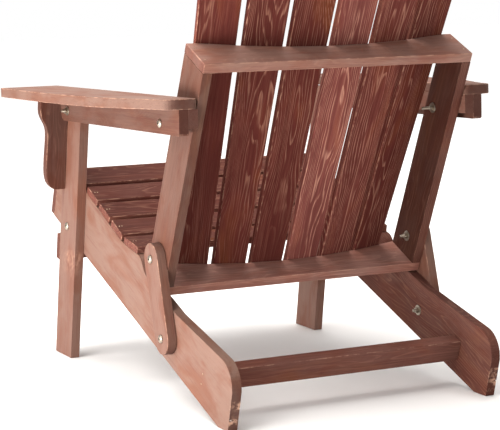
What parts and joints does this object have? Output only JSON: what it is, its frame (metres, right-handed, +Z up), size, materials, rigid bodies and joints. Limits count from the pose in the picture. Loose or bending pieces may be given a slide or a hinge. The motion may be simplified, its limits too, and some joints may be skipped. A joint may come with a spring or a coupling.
{
  "type": "folding adirondack chair",
  "caption": "Folding wooden garden armchair with a slatted seat, broad arms and a fanned slat back; front legs, arms and links pivot on bolts so the back folds down over the seat.",
  "frame": {"origin": "centre of the standing chair's bounding box on the floor plane", "axes": "+X to the sitter's left, the chair faces -Y, +Z up"},
  "size_m": [0.7914, 0.8397, 0.9401],
  "materials": {
    "stained_wood": "satin",
    "zinc": "satin",
    "brad_steel": "satin"
  },
  "bodies": {
    "seat_frame": {"stringer_left": "stained_wood", "stringer_right": "stained_wood", "front_apron": "stained_wood", "seat_slat_1": "stained_wood", "seat_slat_2": "stained_wood", "seat_slat_3": "stained_wood", "seat_slat_4": "stained_wood", "seat_slat_5": "stained_wood", "seat_slat_6": "stained_wood", "seat_slat_7": "stained_wood", "rear_stretcher": "stained_wood", "seat_brads": "brad_steel", "frame_bolts": "zinc"},
    "front_legs": {"leg_left": "stained_wood", "leg_right": "stained_wood", "leg_stretcher": "stained_wood", "bracket_left": "stained_wood", "bracket_right": "stained_wood", "arm_pivot_bolts": "zinc"},
    "arm_left": {"arm_board_left": "stained_wood", "arm_rail_outer_left": "stained_wood", "arm_rail_inner_left": "stained_wood", "arm_bolt_left": "zinc"},
    "arm_right": {"arm_board_right": "stained_wood", "arm_rail_outer_right": "stained_wood", "arm_rail_inner_right": "stained_wood", "arm_bolt_right": "zinc"},
    "link_left": {"link_bar_left": "stained_wood"},
    "link_right": {"link_bar_right": "stained_wood"},
    "back": {"upright_left": "stained_wood", "upright_right": "stained_wood", "bottom_rail": "stained_wood", "top_rail": "stained_wood", "back_slat_1": "stained_wood", "back_slat_2": "stained_wood", "back_slat_3": "stained_wood", "back_slat_4": "stained_wood", "back_slat_5": "stained_wood", "back_slat_6": "stained_wood", "back_bolts": "zinc", "rail_brads": "brad_steel"}
  },
  "joints": [
    {"name": "link_left_pivot", "type": "hinge", "parent": "seat_frame", "child": "link_left", "pos_m": [0, 0.171, 0.1199], "axis": [1, 0, 0], "range_deg": [-15.3, 0]},
    {"name": "link_right_pivot", "type": "hinge", "parent": "seat_frame", "child": "link_right", "pos_m": [0, 0.171, 0.1199], "axis": [1, 0, 0], "range_deg": [-15.3, 0]},
    {"name": "back_fold", "type": "hinge", "parent": "link_left", "child": "back", "pos_m": [0, 0.1304, 0.2578], "axis": [1, 0, 0], "range_deg": [0, 95]},
    {"name": "legs_fold", "type": "hinge", "parent": "seat_frame", "child": "front_legs", "pos_m": [0, -0.2816, 0.2665], "axis": [1, 0, 0], "range_deg": [0, 80.4]},
    {"name": "arm_left_pivot", "type": "hinge", "parent": "front_legs", "child": "arm_left", "pos_m": [0, -0.2166, 0.502], "axis": [1, 0, 0], "range_deg": [-76.6, 0]},
    {"name": "arm_right_pivot", "type": "hinge", "parent": "front_legs", "child": "arm_right", "pos_m": [0, -0.2166, 0.502], "axis": [1, 0, 0], "range_deg": [-76.6, 0]}
  ],
  "couplings": [
    {"joint": "link_left_pivot", "follows": "back_fold", "ratio": -0.1603},
    {"joint": "link_right_pivot", "follows": "back_fold", "ratio": -0.1603},
    {"joint": "legs_fold", "follows": "back_fold", "ratio": 0.8453},
    {"joint": "arm_left_pivot", "follows": "back_fold", "ratio": -0.8057},
    {"joint": "arm_right_pivot", "follows": "back_fold", "ratio": -0.8057}
  ]
}
